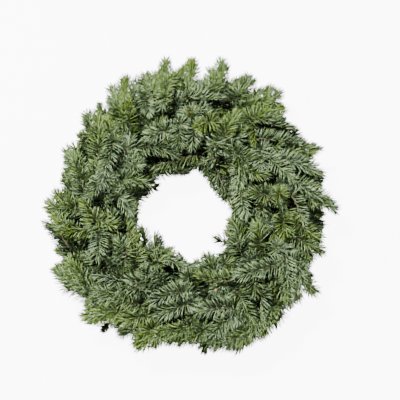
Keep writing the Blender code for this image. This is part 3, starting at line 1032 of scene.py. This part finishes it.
def standingPath(tip, leaders):
    # A shoot that stands up from the nearest leader and shows its end
    top = np.array([*tip, frontHeight(np.hypot(*tip))[0]])
    foot = top - up * frontShape["standing"]
    nearest, anchor = nearestLeader(leaders, foot)
    bend, rise = frontShape["standingPoints"]
    joint = curve((anchor, anchor, foot, foot), bend)
    path = np.concatenate([joint[:-1], np.linspace(foot, top, rise)])
    below = np.linalg.norm(foot - anchor)
    return nearest, path, below / (below + frontShape["standing"])


def frontPath(root, tip, stands, leaders, draw, below=0.0):
    # Up from the nearest leader, then along the front from the root to the tip
    root, tip = np.array(root), np.array(tip)
    side = np.array([tip[1] - root[1], root[0] - tip[0]]) * swing(draw, frontShape["bow"])
    if stands:
        return standingPath(tip, leaders)
    tip = tip - unit(tip - root) * frontShape["brush"]
    flat = [root + (tip - root) * share + side * share * (1 - share)
            for share in np.linspace(0, 1, frontShape["points"])]
    along = np.array([[*point, frontHeight(np.hypot(*point))[0] - below] for point in flat])
    deeper = up * min(frontShape["dive"], along[0][2] / 2)
    way = unit(along[1] - along[0])
    nearest, anchor = nearestLeader(leaders, along[0] - way * frontShape["behind"] - deeper)
    reach = np.linalg.norm(along[0] - anchor)
    back = way * reach * frontShape["back"]
    bend = (anchor, anchor - deeper / 2, along[0] - back - deeper, along[0])
    joint = curve(bend, frontShape["joinPoints"])
    path = np.concatenate([joint[:-1], along])
    steps = stepLengths(path)
    return nearest, path, steps[:len(joint) - 1].sum() / steps.sum() * frontShape["bare"]


def addFrontShoots(plans):
    # Each joins the spray whose leader is nearest
    draw, leaders = random.Random("front shoots"), [plan["shoots"][0]["path"] for plan in plans]
    for root, tip, side, colour, *bud in frontShoots:
        nearest, path, bare = frontPath(root, tip, side == "star", leaders, draw)
        middle = (np.array(root) + np.array(tip)) / 2
        shoot = newShoot(path, shootShape["thickness"], bare, side)
        shoot["colour"] = colour
        shoot["faces"] = (1.0, 0.0) if side == "star" else (-frontHeight(np.hypot(*middle))[1], 1.0)
        shoot["bud"] = bool(bud) or side == "star"
        plans[nearest]["shoots"].append(shoot)


fillGrowth = {
    "rings": ((0.115, 0.145), (0.150, 0.182), (0.180, 0.214)),  # reach of the roots and of the tips
    "shoots": 24,
    "turn": 20,
    "turnSwing": 5,
    "below": 0.028,
}


def addFillShoots(plans):
    # A layer of shoots between the front and the lower sprays, which closes the gaps between them
    draw, leaders = random.Random("fill shoots"), [plan["shoots"][0]["path"] for plan in plans]
    middle, rings = np.array(wreath["outlineMiddle"]), len(fillGrowth["rings"])
    for ring, (near, far) in enumerate(fillGrowth["rings"]):
        for number in range(fillGrowth["shoots"]):
            place = 360 * (number + ring / rings) / fillGrowth["shoots"]
            bearing = place + swing(draw, fillGrowth["turnSwing"])
            root = (middle + polar(near, bearing, 0))[:2]
            tip = (middle + polar(far, bearing - fillGrowth["turn"], 0))[:2]
            nearest, path, bare = frontPath(root, tip, False, leaders, draw, fillGrowth["below"])
            plans[nearest]["shoots"].append(newShoot(path, shootShape["thickness"], bare, "under"))


def planSprays():
    # Every leader first and then the side shoots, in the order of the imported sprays
    filled, plans = packedWire(), []
    for laneName in lanes:
        for bunch in range(wreath["bunches"]):
            name = f"{laneName}_spray_{bunch + 1:02d}"
            stem, corners = leaderCorners(laneName, bunch)
            steps = shootShape["leaderSteps"]
            points = np.array(stem + [bezier(corners, step) for step in steps[2:]])
            thick = wreath["stemRadius"]
            radii = [thick - (thick - wreath["leaderTip"]) * max(step, 0) for step in steps]
            fillSpace(filled, points, radii, name)
            fine = np.concatenate([stem, curve(corners, shootShape["leaderPoints"])])
            leader = newShoot(fine, (thick, wreath["leaderTip"]), shootShape["bare"]["leader"], "leader")
            plans.append({"name": name, "lane": laneName, "steps": steps, "points": points,
                          "shoots": [leader]})
    middle = np.array(wreath["outlineMiddle"][:2])
    tips = [plan["points"][-1][:2] for plan in plans] + [np.array(row[1]) for row in frontShoots]
    rimTips.extend(tip for tip in tips if np.hypot(*(tip - middle)) > rim["fingers"])
    for plan in plans:
        curves = packedSides(filled, plan["name"], plan["lane"], plan["steps"], plan["points"])
        curves += addedSides(plan["name"], plan["lane"], plan["steps"], plan["points"])
        paths = [("side", rounded(corners)) for corners in curves]
        leader = plan["shoots"][0]["path"]
        paths += [("under", path) for path in underShoots(plan["name"], plan["lane"], leader)]
        for kind, path in paths:
            plan["shoots"].append(newShoot(path, shootShape["thickness"], shootShape["bare"][kind], kind))
    addFrontShoots(plans)
    addFillShoots(plans)
    return plans


needleRanks = {
    # Each rank: angle round the shoot, spacing, step in that spacing, lean added, length share, shade added
    "flatFine": (
        (10, 0.0041, 0.0, 2, 1.0, 0.10), (170, 0.0041, 0.5, 2, 1.0, 0.10),
        (38, 0.0043, 0.06, 2, 1.0, 0.10), (142, 0.0043, 0.56, 2, 1.0, 0.10),
        (68, 0.0066, 0.3, -6, 0.92, 0.08), (112, 0.0066, 0.8, -6, 0.92, 0.08),
        (90, 0.0085, 0.1, -18, 0.72, 0.05),
    ),
    # The plain ranks below the shoot, here and in leftPlain, have a large negative shade added: painted
    # shade under the fine needles
    "flatPlain": (
        (-12, 0.0033, 0.5, 1, 0.96, -0.6), (192, 0.0033, 0.0, 1, 0.96, -0.6),
        (-34, 0.0050, 0.3, 3, 0.92, -0.65), (214, 0.0050, 0.7, 3, 0.92, -0.65),
    ),
    "leftFine": (
        (4, 0.0040, 0.0, 2, 1.0, 0.12), (28, 0.0042, 0.05, 2, 1.0, 0.12), (58, 0.0066, 0.2, -4, 0.9, 0.10),
        (88, 0.0085, 0.7, -14, 0.7, 0.08), (130, 0.0110, 0.4, -24, 0.5, 0.0),
    ),
    "leftPlain": (
        (-14, 0.0036, 0.5, 1, 0.96, -0.6), (16, 0.0044, 0.2, 1, 0.96, -0.6), (44, 0.0060, 0.7, 1, 0.9, -0.6),
    ),
    "under": (
        (4, 0.0036, 0.0, 4, 1.0, 0.0), (176, 0.0036, 0.4, 4, 1.0, 0.0),
        (40, 0.0055, 0.2, -4, 0.9, 0.0), (140, 0.0055, 0.7, -4, 0.9, 0.0),
    ),
    "star": tuple((turn, 0.0080, turn / 90, 16, 0.95, 0.1) for turn in range(8, 368, 24)),
}
needleGrowth = {
    # Heights in metres, angles in degrees and the rest as shares; each swing is the most that a draw adds
    "ceiling": 0.106,
    "underCeiling": 0.082,
    "floor": 0.0015,
    "lowest": 0.0004,
    "fewest": 4,
    "crowding": 1.15,
    "brush": 9,
    "brushTurn": (-50, 60),
    "brushFrom": 0.88,
    "brushLength": 0.95,
    "brushSides": {"left": (0,), "right": (180,)},
    "closing": 5,
    "shortening": 3,
    "lean": (62, 80),
    "tipLean": 22,
    "tipSwing": 18,
    "leanSwing": 7,
    "turnSwing": 9,
    "placeSwing": 0.12,
    "lengthSwing": 0.06,
    "tipShare": 0.80,
    "curl": (0.10, 0.45),
    "curlSwing": (0.7, 1.3),
    "curlWay": (0.45, 0.75),  # towards the face and ahead
    "flatWay": (1.1, 0.35),
    "twist": 0.7,
    "shadeSwing": 0.37,
    "shadeLess": 0.14,
    "toneSwing": 0.18,
    "rootYouth": 0.35,
    # Ranks with less shade added than innerShade are the plain ones below the shoot, which carry painted
    # shade; innerSwing narrows their tones so that they stay dark
    "innerShade": -0.3,
    "innerSwing": 0.25,
    "leastRun": 0.001,
    "mostCut": 0.38,
}


def mirrored(ranks):
    return tuple((180 - rank[0], *rank[1:]) for rank in ranks)


def needlePlaces(ranks, brushSides, total, draw):
    # Share along the shoot, turn, lean added, share of length and shade added, a row for each needle
    rule, rows, first = needleGrowth, [], draw.uniform(0, 1)
    for turn, spacing, step, lean, length, shade in ranks:
        amount = max(rule["fewest"], round(total / spacing))
        order = np.arange(amount) + (step + first) % 1
        order = order + draw.uniform(-1, 1, amount) * rule["placeSwing"]
        share = 1 - (1 - np.clip(order / amount, 0, 1))**rule["crowding"]
        rows.append([share] + [np.full(amount, value) for value in (turn, lean, length, shade)])
    amount = rule["brush"]
    turns = draw.choice(brushSides, amount) + draw.uniform(*rule["brushTurn"], amount)
    ends = [draw.uniform(rule["brushFrom"], 1, amount), turns]
    rows.append(ends + [np.full(amount, value) for value in (0, rule["brushLength"], ranks[0][5])])
    return np.concatenate([np.stack(row, axis=1) for row in rows]).T


frontColours = {  # shade, youth and bloom
    "young": (0.50, 0.72, 0.02),
    "bright": (0.40, 0.62, 0.02),
    # Young green made brighter as painted light, for the rows on the near lower side that the key light
    # leaves dark
    "fresh": (0.76, 0.60, 0.04),
    # Painted shade on the top rows on the far side, which the key light lights strongly
    "shaded": (0.14, 0.60, 0.0),
    "olive": (0.46, 0.50, 0.06),
    "green": (0.44, 0.26, 0.12),
    "silver": (0.50, 0.09, 0.36),
    "pale": (0.66, 0.24, 0.42),
    "deep": (0.28, 0.10, 0.12),
}


def keepInside(shoot, base, way, length):
    # Turns needles off the floor and the top, and cuts those that cross the hole's edge or the rim
    front = "colour" in shoot
    ceiling = needleGrowth["ceiling"] if front else needleGrowth["underCeiling"]
    lowest, highest = (needleGrowth["floor"] - base[:, 2]) / length, (ceiling - base[:, 2]) / length
    way[:, 2] = np.clip(way[:, 2], lowest, np.maximum(lowest, highest))
    way = unit(way)
    tips = base + way * length[:, None]
    outwards = reachFrom(tips) - reachFrom(base)
    inside = np.where(reachFrom(base) < holeNear(base), 0, holeNear(tips) - reachFrom(tips))
    outside = reachFrom(tips, wreath["outlineMiddle"]) - rimNear(tips)
    past = np.where(outwards < 0, inside, 0 if front else outside)
    cut = np.clip(past / np.maximum(np.abs(outwards), needleGrowth["leastRun"]), 0, needleGrowth["mostCut"])
    return way, length * (1 - cut)


def bendNeedles(shape, base, way, length, flatSide, bend, draw):
    # A copy of the needle at each base, laid along its way, then twisted and bent
    flatSide = unit(flatSide - way * np.sum(flatSide * way, axis=1, keepdims=True))
    wide = np.cross(way, flatSide)
    twist = draw.uniform(-1, 1, len(base))[:, None] * needleGrowth["twist"]
    flatSide, wide = (flatSide * np.cos(twist) + wide * np.sin(twist),
                      wide * np.cos(twist) - flatSide * np.sin(twist))
    side, ridge, rise = shape["points"].T
    centre = way[:, None] * rise[None, :, None] + 0.5 * bend[:, None] * rise[None, :, None]**2
    copies = base[:, None] + centre * length[:, None, None]
    copies = copies + wide[:, None] * (side * needleShape["width"])[None, :, None]
    copies = copies + flatSide[:, None] * (ridge * needleShape["thickness"])[None, :, None]
    copies[:, :, 2] = np.maximum(copies[:, :, 2], needleGrowth["lowest"])
    return copies


def needleTones(share, shadeAdded, tones, draw):
    # Each needle's shade, youth and bloom; the inner ranks, which carry painted shade, vary less and keep
    # little youth and bloom so that they stay dark
    rule, amount = needleGrowth, len(share)
    varies = np.where(shadeAdded < rule["innerShade"], rule["innerSwing"], 1.0)
    shade = tones["shade"] + shadeAdded + draw.normal(0, rule["shadeSwing"], amount) * varies
    shade = np.clip(shade - rule["shadeLess"], 0, 1)
    ageing = rule["rootYouth"] + (1 - rule["rootYouth"]) * share
    youth = np.clip(tones["youth"] * ageing + draw.normal(0, rule["toneSwing"], amount), 0, 1) * varies
    bloom = np.clip(tones["bloom"] + draw.normal(0, rule["toneSwing"], amount), 0, 1) * varies
    return np.stack([shade, youth, bloom, np.ones(amount)], axis=1)


def plantNeedles(heap, grade, ranks, shoot, faces, draw, tones):
    # Needles stand in ranks along a shoot, and close round its tip
    rule, path, bare = needleGrowth, shoot["path"], shoot["bare"]
    total = stepLengths(path).sum() * (1 - bare)
    brushSides = rule["brushSides"].get(shoot["kind"], (0, 180))
    share, turn, leanAdded, lengthShare, shadeAdded = needlePlaces(ranks, brushSides, total, draw)
    amount = len(share)
    base, ahead = readAlong(path, bare + (1 - bare) * share)
    across, face = flatFrame(faces, base, ahead)
    turn = turn + draw.uniform(-1, 1, amount) * rule["turnSwing"]
    lean = tones["lean"] + leanAdded
    closing = share**rule["closing"]
    leans = lean + (rule["tipLean"] - lean) * closing
    loose = rule["leanSwing"] + (rule["tipSwing"] - rule["leanSwing"]) * closing
    way = leaning(ahead, across, face, turn, leans + draw.uniform(-1, 1, amount) * loose)
    length = needleShape["length"] * lengthShare * (1 + draw.uniform(-1, 1, amount) * rule["lengthSwing"])
    length = length * (1 + (rule["tipShare"] - 1) * share**rule["shortening"])
    curl = tones["curl"] * draw.uniform(*rule["curlSwing"], amount)[:, None]
    bend = (face * rule["curlWay"][0] + ahead * rule["curlWay"][1]) * curl
    way, length = keepInside(shoot, base, way, length)
    top = np.clip(np.sin(np.radians(turn)), 0, 1)
    flatSide = face * (rule["flatWay"][0] - top)[:, None] + ahead * (rule["flatWay"][1] + top)[:, None]
    shape, slot = needleGrades[grade]
    copies = bendNeedles(shape, base, way, length, flatSide, bend, draw)
    places = np.stack([shape["points"][:, 0] + 0.5, shape["points"][:, 2]], axis=1)
    colours = needleTones(share, shadeAdded, tones, draw)
    addCopies(heap, shape, copies + ringCentre, [slot] * len(shape["faces"]), places, colours)


slotOf = {"needle": 0, "bark": 1, "cut": 2, "bud": 3, "inner": 4}
looks = {
    "shade": (0.20, 0.44),
    "youth": {"outer": 0.75, "shoulder": 0.75, "hole": 0.35, "crown": 0.35},
    "bloom": (0.05, 0.45),
    # Under and fill shoots get a low shade, youth and bloom, and plain needles: painted shade for the shoots
    # deep below the front
    "under": {"shade": 0.16, "youth": 0.1, "bloom": 0.1},
    "rim": {"leader": ("outer", "shoulder"), "side": ("outer",)},  # the shoots that show at the rim
    "rimFrom": 0.1,  # past here they stand on the far side
    # Rim shoots on the near side, which lie in the wreath's shadow, get painted light; those on the far
    # side, under the key light, get a little painted shade
    "nearPaintedLight": 0.2,
    "farPaintedShade": -0.05,
    "rimBloom": 0.4,
    "twigYouth": (0.3, 0.5),
    "budChance": 0.2,
    "seedStep": 7,
}


def layTwig(heap, shape, shoot, faces, tones):
    # The rod bent along its shoot; a leader's root shows its cut wood
    side, ridge, rise = shape["points"].T
    centre, ahead = readAlong(shoot["path"], rise)
    across, face = flatFrame(faces, centre, ahead)
    thick, thin = shoot["radii"]
    radius = (thick + (thin - thick) * rise)[:, None]
    copy = centre + (across * side[:, None] + face * ridge[:, None]) * radius
    places = np.stack([np.arctan2(ridge, side) / (2 * math.pi) + 0.5, rise], axis=1)
    slots = [slotOf["bark"]] * len(shape["faces"])
    if shoot["kind"] == "leader":
        slots = [slotOf["cut" if all(rise[corner] < unitEnds[0] for corner in corners) else "bark"]
                 for corners in shape["faces"]]
    least, more = looks["twigYouth"]
    colour = np.array([[tones["shade"], tones["youth"] * more + least, 0, 1]])
    addCopies(heap, shape, copy[None] + ringCentre, slots, places, colour)


def setBuds(heap, shape, shoot, faces, draw):
    # One bud ends the shoot, with two smaller ones beside it
    end, ahead = (found[0] for found in readAlong(shoot["path"], np.array([1.0])))
    across, face = flatFrame(faces, end, ahead)
    width, length = budShape["width"], budShape["length"]
    for turn, lean, size in budShape["group"]:
        way = leaning(ahead, across, face, np.array(turn), np.array(lean))
        side = unit(np.cross(way, face + budShape["nudge"]))
        other = np.cross(way, side)
        size = size * draw.uniform(*budShape["sizes"])
        local = shape["points"] * np.array([width, width, length]) * size
        copy = end - way * budShape["sunk"] + side * local[:, :1]
        copy = copy + other * local[:, 1:2] + way * local[:, 2:]
        places = np.stack([shape["points"][:, 0] + 0.5, shape["points"][:, 2]], axis=1)
        addCopies(heap, shape, copy[None] + ringCentre, [slotOf["bud"]] * len(shape["faces"]), places,
                  np.array([budShape["tone"]]))


def shootTones(shoot, laneName, draw):
    # The shade, youth and bloom of a shoot, and how its needles lean and curl
    tones = {
        "shade": draw.uniform(*looks["shade"]),
        "youth": draw.uniform(0.0, looks["youth"][laneName]),
        "bloom": draw.uniform(*looks["bloom"]),
        "lean": draw.uniform(*needleGrowth["lean"]),
        "curl": draw.uniform(*needleGrowth["curl"]),
    }
    if shoot["kind"] == "under":
        tones.update(looks["under"])
    # Painted light on near-side rim shoots in the wreath's shadow, painted shade on far-side ones under the
    # key light
    if laneName in looks["rim"].get(shoot["kind"], ()):
        near = shoot["path"][-1][1] < looks["rimFrom"]
        tones["shade"] += looks["nearPaintedLight"] if near else looks["farPaintedShade"]
        tones["bloom"] *= looks["rimBloom"]
    if "colour" in shoot:
        tones.update(zip(("shade", "youth", "bloom"), frontColours[shoot["colour"]]))
    return tones


def growShoot(heap, shoot, faces, draw, tones):
    # One twig with its needles, and with buds where it has them
    kind = shoot["kind"]
    layTwig(heap, plainTwig if kind == "under" else fineTwig, shoot, faces, tones)
    if kind == "under":
        plantNeedles(heap, "plain", needleRanks["under"], shoot, faces, draw, tones)
    elif kind == "star":
        plantNeedles(heap, "fine", needleRanks["star"], shoot, faces, draw, tones)
        setBuds(heap, budMaster, shoot, faces, draw)
    else:
        fine, plain = needleRanks["flatFine"], needleRanks["flatPlain"]
        if kind in ("left", "right"):
            fine, plain = needleRanks["leftFine"], needleRanks["leftPlain"]
        if kind == "right":
            fine, plain = mirrored(fine), mirrored(plain)
        plantNeedles(heap, "fine", fine, shoot, faces, draw, tones)
        plantNeedles(heap, "plain", plain, shoot, faces, draw, tones)
        if shoot.get("bud", draw.uniform() < looks["budChance"]):
            setBuds(heap, budMaster, shoot, faces, draw)


def growSpray(name, laneName, shoots):
    # All shoots of a spray as one mesh, from a draw of its own
    seed = sum(ord(letter) * (place + looks["seedStep"]) for place, letter in enumerate(name))
    draw, heap = np.random.default_rng(seed), emptyHeap()
    for shoot in shoots:
        tones = shootTones(shoot, laneName, draw)
        growShoot(heap, shoot, shoot.get("faces", lanes[laneName]["faces"]), draw, tones)
    return heapToPiece(name + "_fine", heap, finishes)


needleGrades = {
    "fine": (modelNeedle(True), slotOf["needle"]),
    "plain": (modelNeedle(False), slotOf["inner"]),
}
fineTwig, plainTwig = modelTwig(*twigShape["fine"]), modelTwig(*twigShape["plain"])
budMaster = modelBud()
finishes = (makeNeedleFinish("fir_needle", needleFinish), makeBarkFinish(),
            makeMottledFinish("cut_wood", cutFinish), makeMottledFinish("resin_bud", budFinish),
            makeNeedleFinish("fir_needle_painted_shade", paintedShadeNeedleFinish))
for plan in planSprays():
    name = plan["name"]
    piece = growSpray(name, plan["lane"], plan["shoots"])
    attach(piece, "root")
    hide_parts(name)
    if name.endswith("_14"):
        print("Lane grown:", plan["lane"])

for nodeName, finish in (
    ("wire_frame", makeMottledFinish("frame_steel_finish", frameFinish)),
    ("binding_wire", makeMottledFinish("reel_wire_finish", reelFinish)),
):
    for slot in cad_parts[nodeName].material_slots:
        slot.material = finish


# Floor, light and camera

studio = {
    "floorSize": 6.0,
    "floorDrop": 0.0002,
    "floorRoughness": 0.6,
    "floorColour": (0.35, 0.35, 0.35),
    "floorGlow": 9,
    "keyPower": 240,
    "keySize": 0.25,
    "keyPlace": (-0.9, 0.8, 2.2),
    "fillPower": 12,
    "fillSize": 0.8,
    "fillPlace": (1.4, -1.0, 1.8),
    "world": 0.035,
}


def layFloor():
    deselectAll()
    bpy.ops.mesh.primitive_plane_add(size=studio["floorSize"], location=(0, 0, -studio["floorDrop"]))
    floor = bpy.context.object
    floor.name = "studio_floor"
    finish, nodes, links, shader = newFinish("pale_floor", studio["floorRoughness"])
    shader.inputs["Base Color"].default_value = (*studio["floorColour"], 1)
    glow = nodes.new("ShaderNodeEmission")
    glow.inputs["Strength"].default_value = studio["floorGlow"]
    sight = nodes.new("ShaderNodeLightPath")
    black = nodes.new("ShaderNodeMixShader")
    links.new(sight.outputs["Is Camera Ray"], black.inputs[0])
    links.new(glow.outputs[0], black.inputs[2])
    both = nodes.new("ShaderNodeAddShader")
    links.new(shader.outputs[0], both.inputs[0])
    links.new(black.outputs[0], both.inputs[1])
    links.new(both.outputs[0], nodes["Material Output"].inputs["Surface"])
    floor.data.materials.append(finish)


def hangLight(name, place, size, power):
    bpy.ops.object.light_add(type="AREA", location=place)
    light = bpy.context.object
    light.name = name
    light.data.size = size
    light.data.energy = power
    light.rotation_euler = (Vector((0, 0, 0)) - Vector(place)).to_track_quat("-Z", "Y").to_euler()


view = {
    "elevation": 74.5,
    "distance": 1.55,
    "aim": (0.00795, -0.00088, 0.035),
    "fieldOfView": 24.7,
    "sensor": 36,
    "shiftX": 0.02375,
    "shiftY": 0.0125,
}


def setCamera():
    raised = math.radians(view["elevation"])
    back = Vector((0, -math.cos(raised), math.sin(raised)))
    bpy.ops.object.camera_add(location=Vector(view["aim"]) + back * view["distance"],
                              rotation=(math.pi / 2 - raised, 0, 0))
    camera = bpy.context.object
    camera.name = "photo_camera"
    camera.data.sensor_width = view["sensor"]
    camera.data.lens = view["sensor"] / 2 / math.tan(math.radians(view["fieldOfView"] / 2))
    camera.data.shift_x = view["shiftX"]
    camera.data.shift_y = view["shiftY"]
    bpy.context.scene.camera = camera


layFloor()
hangLight("key_light", studio["keyPlace"], studio["keySize"], studio["keyPower"])
hangLight("fill_light", studio["fillPlace"], studio["fillSize"], studio["fillPower"])
world = bpy.data.worlds.new("studio_air")
world.use_nodes = True
world.node_tree.nodes["Background"].inputs[0].default_value = (1, 1, 1, 1)
world.node_tree.nodes["Background"].inputs[1].default_value = studio["world"]
bpy.context.scene.world = world
setCamera()

deselectAll()
